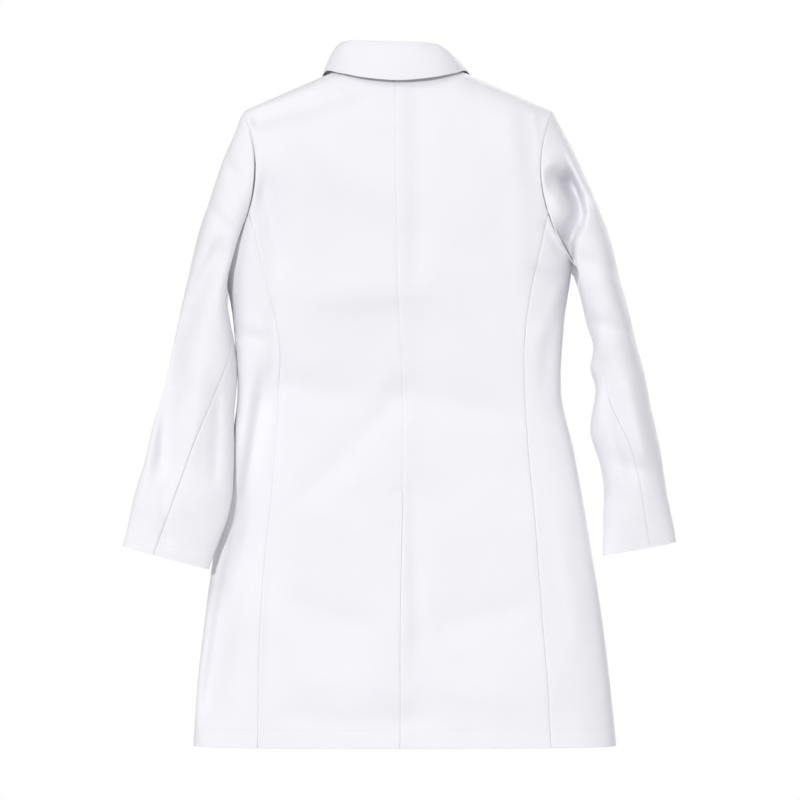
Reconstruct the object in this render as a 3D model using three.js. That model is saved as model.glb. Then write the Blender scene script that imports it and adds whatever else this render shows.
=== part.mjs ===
// A tailored lab coat, shown as it hangs: +Z up, the wearer faces -Y, the wearer's left is +X.
// The origin is the middle of the neck, level with the neck ends of the shoulder seams. Millimetres.
import * as THREE from 'three';

// ---- Driving dimensions -------------------------------------------------------------------

const CLOTH = 1.2;            // thickness of an outer panel
const LINING = 1.0;           // thickness of a turned hem or facing
const PLY_GAP = 1.0;          // clearance between two layers of cloth
const SEAM_GAP = 0.5;         // half the clearance across a seam

const NECK_HALF = 84;         // neck end of the shoulder seam from the centre line
const SHOULDER_HALF = 203;    // shoulder tip from the centre line
const SHOULDER_DROP = 52;     // shoulder tip below the neck end
const UNDERARM_HALF = 228;
const UNDERARM_Z = -249;
const HEM_Z = -882;
const HEM_DEPTH = 25;         // turned-up hem
const BACK_NECK_Z = -8;       // middle of the back neckline
const PRINCESS_TOP_Z = -187;  // where the back princess seam meets the armhole

const FOLD_TOP = { x: 120, depth: 42, z: -75 };    // front princess seam, a straight line in space
const FOLD_END = { x: 200, depth: 50, z: HEM_Z };
const BREAK_Z = -330;         // where the lapel starts to roll
const ROLL_END = { x: 66, z: -60 };                // the top of the lapel's roll line
const LAPEL_TOP = { inner: -79, outer: -94 };      // heights of the lapel's top edge
const LAPEL_LIFT = 1.2;       // clearance of the lapel over the front
const FRONT_LAP = 18;         // each front passes the centre line by this much
const UNDER_LAP_SINK = 6.2;   // how far the under front lies below the upper one at the centre
const SINK_FADE = { from: 22, to: 80 };            // and where it comes level again
const FACING_WIDTH = 55;
const VENT_TOP_Z = -552;
const VENT_WIDTH = 50;
const UNDERLAP_REACH = 20;    // the vent's under layer passes the centre line by this much
const NECK_FACING = { half: 56, bottom: -68, below: 5 };
const SIZE_LABEL = { half: 20, bottom: -62, top: -40 };
const TUCK = 1;               // inner layers stop this short of the edge they line

const SECTION_POWER = { back: 2.8, front: 2.5 };   // squareness of a horizontal section
const SHOULDER_POWER = 2.2;   // squareness of the roll over the shoulder
const SHOULDER_REACH = { back: 110, front: 70 };
const ARMHOLE_DIP = { back: 28.5, front: 42 };
const SIDE_SEAM_ANGLE = 0.006;      // half the opening of the side seam round the section
const SLEEVE_SEAM_ANGLE = 0.012;    // half the opening of a sleeve seam

const DEGREE = Math.PI / 180;

// Stations of the outline, [height, distance from the centre line].
const halfWidth = profile([
  [HEM_Z, 277], [-744, 262], [-613, 240], [-495, 217], [-420, 206], [-325, 213],
  [UNDERARM_Z, UNDERARM_HALF], [-52, UNDERARM_HALF],
]);
const backPrincess = profile([
  [HEM_Z, 190], [-774, 187], [-641, 178], [-541, 169], [-427, 161], [-360, 159], [-280, 172],
  [PRINCESS_TOP_Z, 195.5],
]);
const backDepth = profile([[HEM_Z, 66], [-600, 56], [-423, 48], [-150, 62], [0, 62]]);
const lapelEdge = profile([[BREAK_Z, -FRONT_LAP], [-250, 44], [-160, 84], [-92, 108]]);

// Sleeves: stations run from 0 at the armhole to 1 at the cuff. Each front seam is out of sight under
// the arm, at the angle where the sleeve's collision pieces leave its inside open.
const SLEEVES = {
  left: {
    outer: [
      [0, 203, -52], [0.2, 246, -165], [0.4, 276, -280], [0.6, 301, -393], [0.8, 330, -507], [1, 358, -620],
    ],
    inner: [
      [0, 228, -249], [0.06, 232, -266], [0.2, 224, -308], [0.4, 211, -380],
      [0.6, 215, -465], [0.8, 216, -560], [1, 246, -650],
    ],
    depth: [[0, 39], [0.2, 54], [0.4, 46], [0.6, 35], [0.8, 22], [1, 18]],
    setBack: [[0, 4], [0.3, 5], [0.6, 18], [0.8, 42], [1, 44]],
    frontSeam: -115 * DEGREE,
  },
  right: {
    outer: [
      [0, 203, -52], [0.2, 259, -165], [0.4, 293, -280], [0.6, 322, -394], [0.8, 345, -505], [1, 364, -616],
    ],
    inner: [
      [0, 228, -249], [0.06, 233, -266], [0.2, 243, -310], [0.4, 255, -385],
      [0.6, 256, -465], [0.8, 268, -545], [1, 268, -634],
    ],
    depth: [[0, 39], [0.2, 50], [0.4, 51], [0.6, 47], [0.8, 42], [1, 26]],
    setBack: [[0, 4], [0.5, 0], [1, -6]],
    frontSeam: -150 * DEGREE,
  },
};
const backArmSeam = profile([[0, 132], [0.25, 158], [0.55, 115], [0.75, 86], [1, 74]]);
const SLEEVE_START = 0.01;
const CUFF_HEM_START = 0.965;

const SNAP_HEIGHTS = [-352, -452, -552, -652];
const POCKETS = {
  left_chest_pocket: { side: 1, inner: 54, outer: 136, top: -246, bottom: -346, gape: 10 },
  left_pocket: { side: 1, inner: 34, outer: 158, top: -545, bottom: -715, gape: 13 },
  right_pocket: { side: -1, inner: 34, outer: 158, top: -545, bottom: -715, gape: 13 },
};

const WHITE = { color: 0xf3f4f7, roughness: 0.85, metalness: 0 };
const SNAP = { color: 0xf5f5f2, roughness: 0.3, metalness: 0 };
const METAL = { color: 0xc4c6c9, roughness: 0.35, metalness: 0.9 };

// ---- Small tools --------------------------------------------------------------------------

/** A smooth function through [position, value] stations, level beyond both ends. */
function profile(stations) {
  const slopes = stations.map((station, i) => {
    const before = stations[Math.max(i - 1, 0)];
    const after = stations[Math.min(i + 1, stations.length - 1)];
    return (after[1] - before[1]) / (after[0] - before[0]);
  });
  return (position) => {
    let i = 0;
    while (i < stations.length - 2 && position > stations[i + 1][0]) i += 1;
    const [start, low] = stations[i];
    const [end, high] = stations[i + 1];
    const span = end - start;
    const t = THREE.MathUtils.clamp((position - start) / span, 0, 1);
    const ease = t * t * (3 - 2 * t);
    const leaving = t * (1 - t) * (1 - t) * span * slopes[i];
    const arriving = t * t * (1 - t) * span * slopes[i + 1];
    return low + (high - low) * ease + leaving - arriving;
  };
}

/** The place in [low, high] where a rising test turns positive. */
function crossing(test, low, high) {
  let below = low;
  let above = high;
  for (let i = 0; i < 44; i += 1) {
    const middle = (below + above) / 2;
    if (test(middle) > 0) above = middle;
    else below = middle;
  }
  return below;
}

const mix = THREE.MathUtils.lerp;
const smooth = (value, from, to) => THREE.MathUtils.smoothstep(value, from, to);

/** Unit normal of a surface at (u, v), by differences. */
function normalAt(surface, u, v, turn) {
  const step = 1e-3;
  const along = surface(Math.min(u + step, 1), v).sub(surface(Math.max(u - step, 0), v));
  const up = surface(u, Math.min(v + step, 1)).sub(surface(u, Math.max(v - step, 0)));
  return along.cross(up).normalize().multiplyScalar(turn);
}

/**
 * A closed sheet of cloth over surface(u, v), between two offsets along its outward normal.
 * turn is 1 where u cross v points outward, otherwise -1. A ring closes on itself along u.
 */
function sheet(surface, columns, rows, lower, upper, turn, ring = false) {
  const positions = [];
  const index = [];
  const across = ring ? columns : columns + 1;
  for (const offset of [upper, lower]) {
    for (let row = 0; row <= rows; row += 1) {
      for (let column = 0; column < across; column += 1) {
        const u = column / columns;
        const v = row / rows;
        const point = surface(u, v).addScaledVector(normalAt(surface, u, v, turn), offset);
        positions.push(point.x, point.y, point.z);
      }
    }
  }
  const layer = across * (rows + 1);
  const at = (column, row, side) => side * layer + row * across + (column % across);
  const quad = (a, b, c, d) => {
    if (turn > 0) index.push(a, b, c, a, c, d);
    else index.push(a, c, b, a, d, c);
  };
  for (let row = 0; row < rows; row += 1) {
    for (let column = 0; column < columns; column += 1) {
      quad(at(column, row, 0), at(column + 1, row, 0), at(column + 1, row + 1, 0), at(column, row + 1, 0));
      quad(at(column, row, 1), at(column, row + 1, 1), at(column + 1, row + 1, 1), at(column + 1, row, 1));
    }
  }
  for (let column = 0; column < columns; column += 1) {
    quad(at(column, 0, 1), at(column + 1, 0, 1), at(column + 1, 0, 0), at(column, 0, 0));
    quad(at(column, rows, 0), at(column + 1, rows, 0), at(column + 1, rows, 1), at(column, rows, 1));
  }
  if (!ring) {
    for (let row = 0; row < rows; row += 1) {
      quad(at(0, row, 1), at(0, row, 0), at(0, row + 1, 0), at(0, row + 1, 1));
      quad(at(columns, row, 0), at(columns, row, 1), at(columns, row + 1, 1), at(columns, row + 1, 0));
    }
  }
  const geometry = new THREE.BufferGeometry();
  geometry.setAttribute('position', new THREE.Float32BufferAttribute(positions, 3));
  geometry.setIndex(index);
  geometry.computeVertexNormals();
  return geometry;
}

/** Adds a named mesh to a group; its geometry is given in the coat's frame. */
function add(group, name, geometry, look = WHITE) {
  geometry.computeBoundingBox();
  const middle = geometry.boundingBox.getCenter(new THREE.Vector3()).round();
  geometry.translate(-middle.x, -middle.y, -middle.z);
  const mesh = new THREE.Mesh(geometry, new THREE.MeshStandardMaterial(look));
  mesh.name = name;
  mesh.position.copy(middle).sub(group.position);
  group.add(mesh);
  return mesh;
}

// ---- The body's surface -------------------------------------------------------------------

/** Height of the shoulder ridge above a point x across. */
function ridge(x) {
  const slope = SHOULDER_DROP / (SHOULDER_HALF - NECK_HALF);
  const reach = Math.abs(x);
  if (reach > NECK_HALF) return -slope * (reach - NECK_HALF);
  return (slope * NECK_HALF * (1 - (reach / NECK_HALF) ** 2)) / 2;
}

/** 0 on the shoulder ridge, rising to 1 where the cloth hangs straight. */
function shoulderRoll(face, x, z) {
  const down = THREE.MathUtils.clamp((ridge(x) - z) / SHOULDER_REACH[face], 0, 1);
  return (1 - (1 - down) ** SHOULDER_POWER) ** (1 / SHOULDER_POWER);
}

/** Depth of a horizontal section at x, as a share of its depth at the centre line. */
function sectionDepth(face, x, z) {
  const reach = Math.min(Math.abs(x) / halfWidth(z), 1);
  return (1 - reach ** SECTION_POWER[face]) ** (1 / SECTION_POWER[face]);
}

/** Where the front princess seam is at height z: across, and in front of the centre plane. */
function foldLine(z) {
  const t = (z - FOLD_TOP.z) / (FOLD_END.z - FOLD_TOP.z);
  return { x: mix(FOLD_TOP.x, FOLD_END.x, t), depth: mix(FOLD_TOP.depth, FOLD_END.depth, t) };
}

function frontDepth(z) {
  const fold = foldLine(z);
  return fold.depth / sectionDepth('front', fold.x, z);
}

/** A point of the back or the front at (x, z). */
function bodyPoint(face, x, z) {
  const depth = face === 'back' ? backDepth(z) : -frontDepth(z);
  return new THREE.Vector3(x, depth * sectionDepth(face, x, z) * shoulderRoll(face, x, z), z);
}

/** The left armhole edge; angle 0 is the shoulder tip, half a turn is the underarm. */
function armholeEdge(face, angle) {
  const halfHeight = (UNDERARM_Z + SHOULDER_DROP) / -2;
  const middle = (SHOULDER_HALF + UNDERARM_HALF) / 2;
  const lean = (UNDERARM_HALF - SHOULDER_HALF) / 2;
  return {
    x: middle - lean * Math.cos(angle) - ARMHOLE_DIP[face] * Math.sin(angle) ** 2,
    z: (UNDERARM_Z - SHOULDER_DROP) / 2 + halfHeight * Math.cos(angle),
  };
}

function armholeX(face, z) {
  const halfHeight = (UNDERARM_Z + SHOULDER_DROP) / -2;
  const level = (z - (UNDERARM_Z - SHOULDER_DROP) / 2) / halfHeight;
  return armholeEdge(face, Math.acos(THREE.MathUtils.clamp(level, -1, 1))).x;
}

/** Angle round a section at x: 0 at the side edge, a quarter turn at the centre line. */
function angleOf(face, x, z) {
  return Math.acos(Math.min(x / halfWidth(z), 1) ** (SECTION_POWER[face] / 2));
}

function acrossOf(face, angle, z) {
  return halfWidth(z) * Math.cos(angle) ** (2 / SECTION_POWER[face]);
}

/** Row heights that crowd where the cloth rolls over the shoulder; v is 0 at the hem. */
function rowHeight(v, top, bottom, face) {
  const rollShare = 0.3;
  const firstStep = 0.012;
  const fromTop = 1 - v;
  const reach = SHOULDER_REACH[face];
  if (fromTop < rollShare) {
    const angle = mix(firstStep, Math.PI / 2, fromTop / rollShare);
    return top - reach * (1 - Math.cos(angle) ** (2 / SHOULDER_POWER));
  }
  return mix(top - reach, bottom, (fromTop - rollShare) / (1 - rollShare));
}

function backNeckZ(x) {
  return BACK_NECK_Z * (1 - (x / NECK_HALF) ** 2) ** 0.7;
}

function backTop(x) {
  return x < NECK_HALF ? backNeckZ(x) : ridge(x);
}

/** The front edge of the left front: straight below the break, then the roll line of the lapel. */
function frontEdgeX(z) {
  if (z < BREAK_Z) return -FRONT_LAP;
  return mix(-FRONT_LAP, ROLL_END.x, (z - BREAK_Z) / (ROLL_END.z - BREAK_Z));
}

/** The front neck edge of the shoulder piece, from the roll line up to the shoulder seam. */
function frontNeckX(z) {
  const start = frontEdgeX(FOLD_TOP.z);
  return mix(start, NECK_HALF, smooth(z, FOLD_TOP.z - 20, 0));
}

const mirrored = (point, side) => new THREE.Vector3(point.x * side, point.y, point.z);

// ---- Panels -------------------------------------------------------------------------------

/** Back panel from the centre back seam to the princess seam and the armhole. */
function backPanel(side) {
  const edge = (z) => (z > PRINCESS_TOP_Z ? armholeX('back', z) : backPrincess(z)) - SEAM_GAP;
  const surface = (u, v) => {
    const across = (z) => mix(SEAM_GAP, edge(z), u);
    const top = crossing((z) => z - backTop(across(z)), -300, 60);
    const z = rowHeight(v, top, HEM_Z, 'back');
    return mirrored(bodyPoint('back', across(z), z), side);
  };
  return sheet(surface, 7, 17, -CLOTH, 0, -side);
}

/** Side back panel from the princess seam to the side seam. */
function sideBackPanel(side) {
  const surface = (u, v) => {
    const angle = (z) => mix(angleOf('back', backPrincess(z) + SEAM_GAP, z), SIDE_SEAM_ANGLE, u);
    const beyond = (z) => acrossOf('back', angle(z), z) - armholeX('back', z) + SEAM_GAP;
    const top = crossing(beyond, UNDERARM_Z - 1, PRINCESS_TOP_Z);
    const z = mix(HEM_Z, top, v);
    return mirrored(bodyPoint('back', acrossOf('back', angle(z), z), z), side);
  };
  return sheet(surface, 7, 14, -CLOTH, 0, -side);
}

/** Side front panel from the front princess seam to the side seam, armhole and shoulder. */
function sideFrontPanel(side) {
  const outerAngle = (z) => (
    z < UNDERARM_Z ? SIDE_SEAM_ANGLE : angleOf('front', armholeX('front', z) - SEAM_GAP, z)
  );
  const surface = (u, v) => {
    const angle = (z) => mix(angleOf('front', foldLine(z).x + SEAM_GAP, z), outerAngle(z), u);
    const top = crossing((z) => z - ridge(acrossOf('front', angle(z), z)), -300, 60);
    const z = rowHeight(v, top, HEM_Z, 'front');
    return mirrored(bodyPoint('front', acrossOf('front', angle(z), z), z), side);
  };
  return sheet(surface, 6, 18, -CLOTH, 0, side);
}

/** The top of a front, above the fold, which stays with the shoulder. */
function frontShoulder(side) {
  const bottom = FOLD_TOP.z + SEAM_GAP;
  const surface = (u, v) => {
    const across = (z) => mix(frontNeckX(z), foldLine(z).x - SEAM_GAP, u);
    const top = crossing((z) => z - ridge(across(z)), -300, 60);
    const z = mix(bottom, top, 1 - (1 - v) ** 2);
    return mirrored(bodyPoint('front', across(z), z - 0.01), side);
  };
  return sheet(surface, 2, 8, -CLOTH, 0, side);
}

/** A point of a front; the left front sinks below the right one near the centre line. */
function frontPoint(side, x, z) {
  const point = bodyPoint('front', x, z);
  if (side > 0) point.y += UNDER_LAP_SINK * (1 - smooth(x, SINK_FADE.from, SINK_FADE.to));
  return mirrored(point, side);
}

/** A patch of a front between two lines across and two heights. */
function frontPatch(side, innerX, outerX, bottomZ, topZ, bulge = () => 0) {
  return (u, v) => {
    const z = mix(bottomZ(u), topZ(u), v);
    const point = frontPoint(side, mix(innerX(z), outerX(z), u), z);
    point.y -= bulge(u, v);
    return point;
  };
}

function frontPanel(side) {
  const patch = frontPatch(
    side, frontEdgeX, (z) => foldLine(z).x - SEAM_GAP, () => HEM_Z, () => FOLD_TOP.z - SEAM_GAP);
  return sheet(patch, 7, 15, -CLOTH, 0, side);
}

function frontFacing(side) {
  const lower = -(CLOTH + PLY_GAP + LINING);
  const outer = (z) => Math.min(frontEdgeX(z) + FACING_WIDTH, foldLine(z).x - 14);
  const patch = frontPatch(
    side, (z) => frontEdgeX(z) + TUCK, outer, () => HEM_Z + TUCK, () => FOLD_TOP.z - 3 * TUCK);
  return sheet(patch, 3, 15, lower, lower + LINING, side);
}

function frontHem(side) {
  const lower = -(CLOTH + PLY_GAP + LINING);
  const inner = () => FACING_WIDTH - FRONT_LAP + 2;
  const outer = (z) => foldLine(z).x - 4;
  const patch = frontPatch(side, inner, outer, () => HEM_Z + TUCK, () => HEM_Z + HEM_DEPTH);
  return sheet(patch, 5, 1, lower, lower + LINING, side);
}

/** The lapel: the top of the front edge, turned out along the roll line. */
function lapel(side) {
  const topEdge = (u) => mix(LAPEL_TOP.inner, LAPEL_TOP.outer, u);
  const patch = frontPatch(
    side, (z) => frontEdgeX(z) + TUCK, (z) => Math.max(lapelEdge(z), frontEdgeX(z) + 3 * TUCK),
    () => BREAK_Z + 6, topEdge);
  return sheet(patch, 5, 12, LAPEL_LIFT, LAPEL_LIFT + CLOTH, side);
}

/** A patch pocket: flat at its sewn edges, gaping towards its mouth. */
function pocket({ side, inner, outer, top, bottom, gape }) {
  const bulge = (u, v) => gape * Math.sin(Math.PI * u) * Math.sin((Math.PI / 2) * v) ** 1.5;
  const patch = frontPatch(side, () => inner, () => outer, () => bottom, () => top, bulge);
  return sheet(patch, 8, 6, 0.5, 0.5 + CLOTH, side);
}

/** The turned-up hem inside the back and sides, from the vent round to the front seam. */
function bodyHem(side, vent) {
  const lower = -(CLOTH + PLY_GAP + LINING);
  const surface = (u, v) => {
    const z = mix(HEM_Z + TUCK, HEM_Z + HEM_DEPTH, v);
    const angle = mix(-angleOf('back', vent, z), angleOf('front', foldLine(z).x + 4, z), u);
    const face = angle < 0 ? 'back' : 'front';
    return mirrored(bodyPoint(face, acrossOf(face, Math.abs(angle), z), z), side);
  };
  return sheet(surface, 18, 1, lower, lower + LINING, -side);
}

/** A strip inside the back between two lines across and two heights. */
function backStrip(fromX, toX, bottomZ, topZ, offset, columns, rows) {
  const surface = (u, v) => {
    const x = mix(fromX, toX, u);
    return bodyPoint('back', x, mix(bottomZ, topZ(x), v));
  };
  return sheet(surface, columns, rows, offset - LINING, offset, -1);
}

// ---- Collar -------------------------------------------------------------------------------

/** Turns a list of left-side points, starting at the centre back, into a curve round the neck. */
function neckCurve(leftPoints) {
  const right = leftPoints.slice(1).map((point) => mirrored(point, -1)).reverse();
  return new THREE.CatmullRomCurve3([...right, ...leftPoints], false, 'catmullrom', 0.5);
}

const COLLAR = {
  base: [[0, 41, -6], [32, 37, -4], [60, 24, 0], [76, 5, 4], [72, -18, -14], [67, -30, -36], [61, -37, -62]],
  roll: [[0, 43, 37], [30, 40, 37], [58, 26, 34], [71, 4, 25], [72, -24, 2], [69, -43, -30], [62, -50, -62]],
  edge: [
    [0, 52, -14], [45, 47, -10], [79, 27, -1], [95, 2, 4],
    [104, -31, -20], [107, -47, -44], [99, -54, -70],
  ],
};

const collarCurves = Object.fromEntries(Object.entries(COLLAR).map(([name, points]) => [
  name, neckCurve(points.map((point) => new THREE.Vector3(...point))),
]));

function awayFromNeck(point) {
  return new THREE.Vector3(point.x, point.y - 6, 0).normalize();
}

function collarStand() {
  const surface = (u, v) => collarCurves.base.getPoint(u).lerp(collarCurves.roll.getPoint(u), v);
  return sheet(surface, 26, 3, -CLOTH / 2, CLOTH / 2, 1);
}

/** The turned-down leaf: rolls over the stand and falls to its outer edge. */
function collarLeaf() {
  const surface = (u, v) => {
    const roll = collarCurves.roll.getPoint(u);
    const edge = collarCurves.edge.getPoint(u);
    const start = roll.clone().addScaledVector(awayFromNeck(roll), 2);
    start.z += 1;
    const shoulder = start.clone().lerp(edge, 0.3).addScaledVector(awayFromNeck(roll), 6);
    return new THREE.QuadraticBezierCurve3(start, shoulder, edge).getPoint(v);
  };
  return sheet(surface, 26, 5, 0, CLOTH, -1);
}

// ---- Sleeves ------------------------------------------------------------------------------

/** Makes surface(angle, t) of a left-hand sleeve; angle 0 is its outer edge, +90 degrees its back. */
function sleeveSurface(plan) {
  const coordinate = (stations, column) => profile(stations.map((station) => [station[0], station[column]]));
  const outer = [coordinate(plan.outer, 1), coordinate(plan.outer, 2)];
  const inner = [coordinate(plan.inner, 1), coordinate(plan.inner, 2)];
  const depth = profile(plan.depth);
  const setBack = profile(plan.setBack);
  const tube = (angle, t) => {
    const share = (1 + Math.cos(angle)) / 2;
    return new THREE.Vector3(
      mix(inner[0](t), outer[0](t), share),
      setBack(t) + depth(t) * Math.sin(angle),
      mix(inner[1](t), outer[1](t), share));
  };
  return (angle, t) => {
    const face = Math.sin(angle) >= 0 ? 'back' : 'front';
    const edge = armholeEdge(face, angle);
    const correction = bodyPoint(face, edge.x, edge.z).sub(tube(angle, 0));
    return tube(angle, t).addScaledVector(correction, 1 - smooth(t, 0, 0.3));
  };
}

function sleevePanel(side, surfaceOf, fromAngle, toAngle, columns) {
  const surface = (u, v) => {
    const t = mix(1, SLEEVE_START, v ** 1.15);
    const angle = mix(fromAngle(t) + SLEEVE_SEAM_ANGLE, toAngle(t) - SLEEVE_SEAM_ANGLE, u);
    return mirrored(surfaceOf(angle, t), side);
  };
  return sheet(surface, columns, 13, -CLOTH, 0, side);
}

function cuffHem(side, surfaceOf) {
  const lower = -(CLOTH + PLY_GAP + LINING);
  const surface = (u, v) => mirrored(surfaceOf(u * 2 * Math.PI, mix(0.998, CUFF_HEM_START, v)), side);
  return sheet(surface, 28, 1, lower, lower + LINING, side, true);
}

function addSleeve(group, name, side) {
  const { frontSeam } = SLEEVES[name];
  const surfaceOf = sleeveSurface(SLEEVES[name]);
  const backSeam = (t) => backArmSeam(t) * DEGREE;
  const upper = sleevePanel(side, surfaceOf, () => frontSeam, backSeam, 16);
  const under = sleevePanel(side, surfaceOf, backSeam, () => frontSeam + 2 * Math.PI, 8);
  add(group, `${name}_upper_sleeve`, upper);
  add(group, `${name}_under_sleeve`, under);
  add(group, `${name}_cuff_hem`, cuffHem(side, surfaceOf));
}

// ---- Fasteners and small pieces -----------------------------------------------------------

/** A turned disc from [radius, height] points that start and end on the axis. */
function turned(points) {
  return new THREE.LatheGeometry(points.map(([radius, height]) => new THREE.Vector2(radius, height)), 14);
}

/** Stands a turned piece on the front at the centre line, its axis pointing out of the cloth. */
function onFront(geometry, side, z, offset) {
  const patch = (u, v) => bodyPoint('front', mix(-10, 10, u), mix(z - 10, z + 10, v));
  const out = normalAt(patch, 0.5, 0.5, 1);
  const stand = new THREE.Quaternion().setFromUnitVectors(new THREE.Vector3(0, 1, 0), out);
  const foot = bodyPoint('front', 0, z).addScaledVector(out, offset);
  return geometry.applyQuaternion(stand).translate(foot.x, foot.y, foot.z);
}

const CAP = [[0, 0], [7, 0], [7.5, 0.8], [6.6, 1.9], [4, 2.7], [0, 3]];
const SOCKET = [[2.4, 0], [5, 0], [5, 1.3], [2.4, 1.3], [2.4, 0]];
const STUD = [[0, 0], [4.8, 0], [4.8, 0.6], [1.6, 0.6], [1.9, 1.3], [1.5, 1.9], [0, 1.9]];

function addSnaps(leftFront, rightFront) {
  const socketSeat = -(CLOTH + PLY_GAP + LINING) - 0.3 - 1.3;
  const studSeat = -UNDER_LAP_SINK + 0.3;
  SNAP_HEIGHTS.forEach((z, i) => {
    add(rightFront, `snap_cap_${i + 1}`, onFront(turned(CAP), -1, z, 0.3), SNAP);
    add(rightFront, `snap_socket_${i + 1}`, onFront(turned(SOCKET), -1, z, socketSeat), METAL);
    add(leftFront, `snap_stud_${i + 1}`, onFront(turned(STUD), 1, z, studSeat), METAL);
  });
}

/** The hanger loop: a tape whose ends are sewn inside the back neck, hanging down inside it. */
const LOOP = { halfSpan: 28, drop: 15, y: 38, z: -12, width: 6, thickness: 1 };

function hangerLoop() {
  const path = new THREE.CatmullRomCurve3([
    new THREE.Vector3(-LOOP.halfSpan, LOOP.y, LOOP.z),
    new THREE.Vector3(-LOOP.halfSpan * 0.6, LOOP.y - 1, LOOP.z - LOOP.drop * 0.8),
    new THREE.Vector3(0, LOOP.y - 1.5, LOOP.z - LOOP.drop),
    new THREE.Vector3(LOOP.halfSpan * 0.6, LOOP.y - 1, LOOP.z - LOOP.drop * 0.8),
    new THREE.Vector3(LOOP.halfSpan, LOOP.y, LOOP.z),
  ]);
  const [halfThick, halfWide] = [LOOP.thickness / 2, LOOP.width / 2];
  const tape = new THREE.Shape([
    new THREE.Vector2(-halfThick, -halfWide),
    new THREE.Vector2(halfThick, -halfWide),
    new THREE.Vector2(halfThick, halfWide),
    new THREE.Vector2(-halfThick, halfWide),
  ]);
  return new THREE.ExtrudeGeometry(tape, { steps: 14, extrudePath: path, bevelEnabled: false });
}

// ---- Assembly -----------------------------------------------------------------------------

const coat = new THREE.Group();

function groupAt(x, y, z) {
  const group = new THREE.Group();
  group.position.set(x, y, z);
  coat.add(group);
  return group;
}

const body = groupAt(0, 0, 0);
const collar = groupAt(0, 0, 0);
const fronts = {
  left: groupAt(FOLD_TOP.x, -FOLD_TOP.depth, FOLD_TOP.z),
  right: groupAt(-FOLD_TOP.x, -FOLD_TOP.depth, FOLD_TOP.z),
};
const sleeves = {
  left: groupAt(SHOULDER_HALF, 0, -SHOULDER_DROP),
  right: groupAt(-SHOULDER_HALF, 0, -SHOULDER_DROP),
};

for (const [name, side] of [['left', 1], ['right', -1]]) {
  add(body, `${name}_back_panel`, backPanel(side));
  add(body, `${name}_side_back_panel`, sideBackPanel(side));
  add(body, `${name}_side_front_panel`, sideFrontPanel(side));
  add(body, `${name}_front_shoulder`, frontShoulder(side));
  add(body, `${name}_hem`, bodyHem(side, side > 0 ? 24 : VENT_WIDTH + 3));
  add(fronts[name], `${name}_front_panel`, frontPanel(side));
  add(fronts[name], `${name}_lapel`, lapel(side));
  add(fronts[name], `${name}_front_facing`, frontFacing(side));
  add(fronts[name], `${name}_front_hem`, frontHem(side));
  addSleeve(sleeves[name], name, side);
}

for (const [name, plan] of Object.entries(POCKETS)) {
  add(plan.side > 0 ? fronts.left : fronts.right, name, pocket(plan));
}

const firstPly = -(CLOTH + PLY_GAP);
const secondPly = firstPly - LINING - PLY_GAP;
const ventTop = () => VENT_TOP_Z;
const ventFoot = HEM_Z + TUCK;
const neckFacingTop = (x) => backNeckZ(Math.abs(x)) - NECK_FACING.below;
const deeper = PLY_GAP - 0.4;
add(body, 'vent_facing', backStrip(-VENT_WIDTH, -TUCK, ventFoot, ventTop, firstPly, 3, 8));
add(body, 'vent_underlap', backStrip(
  -VENT_WIDTH + 2 * TUCK, UNDERLAP_REACH, ventFoot, ventTop, secondPly, 4, 8));
add(body, 'back_neck_facing', backStrip(
  -NECK_FACING.half, NECK_FACING.half, NECK_FACING.bottom, neckFacingTop, firstPly - deeper, 10, 6));
add(body, 'size_label', backStrip(
  -SIZE_LABEL.half, SIZE_LABEL.half, SIZE_LABEL.bottom, () => SIZE_LABEL.top, secondPly - deeper, 4, 3));
add(collar, 'collar_stand', collarStand());
add(collar, 'upper_collar', collarLeaf());
add(collar, 'hanger_loop', hangerLoop());
addSnaps(fronts.left, fronts.right);

export default coat;
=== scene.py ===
import math

import bpy
import numpy as np
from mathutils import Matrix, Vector


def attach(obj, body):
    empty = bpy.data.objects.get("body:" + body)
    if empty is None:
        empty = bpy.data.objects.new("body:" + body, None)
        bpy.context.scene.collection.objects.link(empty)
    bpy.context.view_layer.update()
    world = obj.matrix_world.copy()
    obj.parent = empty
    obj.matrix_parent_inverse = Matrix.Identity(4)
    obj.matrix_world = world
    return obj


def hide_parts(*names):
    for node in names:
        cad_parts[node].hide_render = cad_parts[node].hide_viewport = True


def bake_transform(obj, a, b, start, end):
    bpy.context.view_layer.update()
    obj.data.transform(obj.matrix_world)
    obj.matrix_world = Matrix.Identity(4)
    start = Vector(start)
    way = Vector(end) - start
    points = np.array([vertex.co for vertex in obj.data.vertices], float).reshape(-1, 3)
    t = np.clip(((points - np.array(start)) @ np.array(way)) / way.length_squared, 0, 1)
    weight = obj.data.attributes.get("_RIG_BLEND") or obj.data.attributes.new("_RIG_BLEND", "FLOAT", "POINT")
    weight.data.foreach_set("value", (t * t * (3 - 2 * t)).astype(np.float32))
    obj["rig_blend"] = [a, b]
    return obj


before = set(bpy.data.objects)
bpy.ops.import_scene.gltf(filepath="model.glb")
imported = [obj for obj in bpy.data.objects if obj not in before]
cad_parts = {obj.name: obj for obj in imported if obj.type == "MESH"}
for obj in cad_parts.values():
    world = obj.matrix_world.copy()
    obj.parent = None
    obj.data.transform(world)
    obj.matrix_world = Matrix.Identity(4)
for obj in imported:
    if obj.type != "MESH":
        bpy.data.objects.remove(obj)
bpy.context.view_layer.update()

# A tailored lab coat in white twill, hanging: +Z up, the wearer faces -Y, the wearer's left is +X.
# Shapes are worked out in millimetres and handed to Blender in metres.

MM = 0.001
LEFT = 1
RIGHT = -1
SIDES = {"left": LEFT, "right": RIGHT}

# ---- Cloth and outline ----

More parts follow.
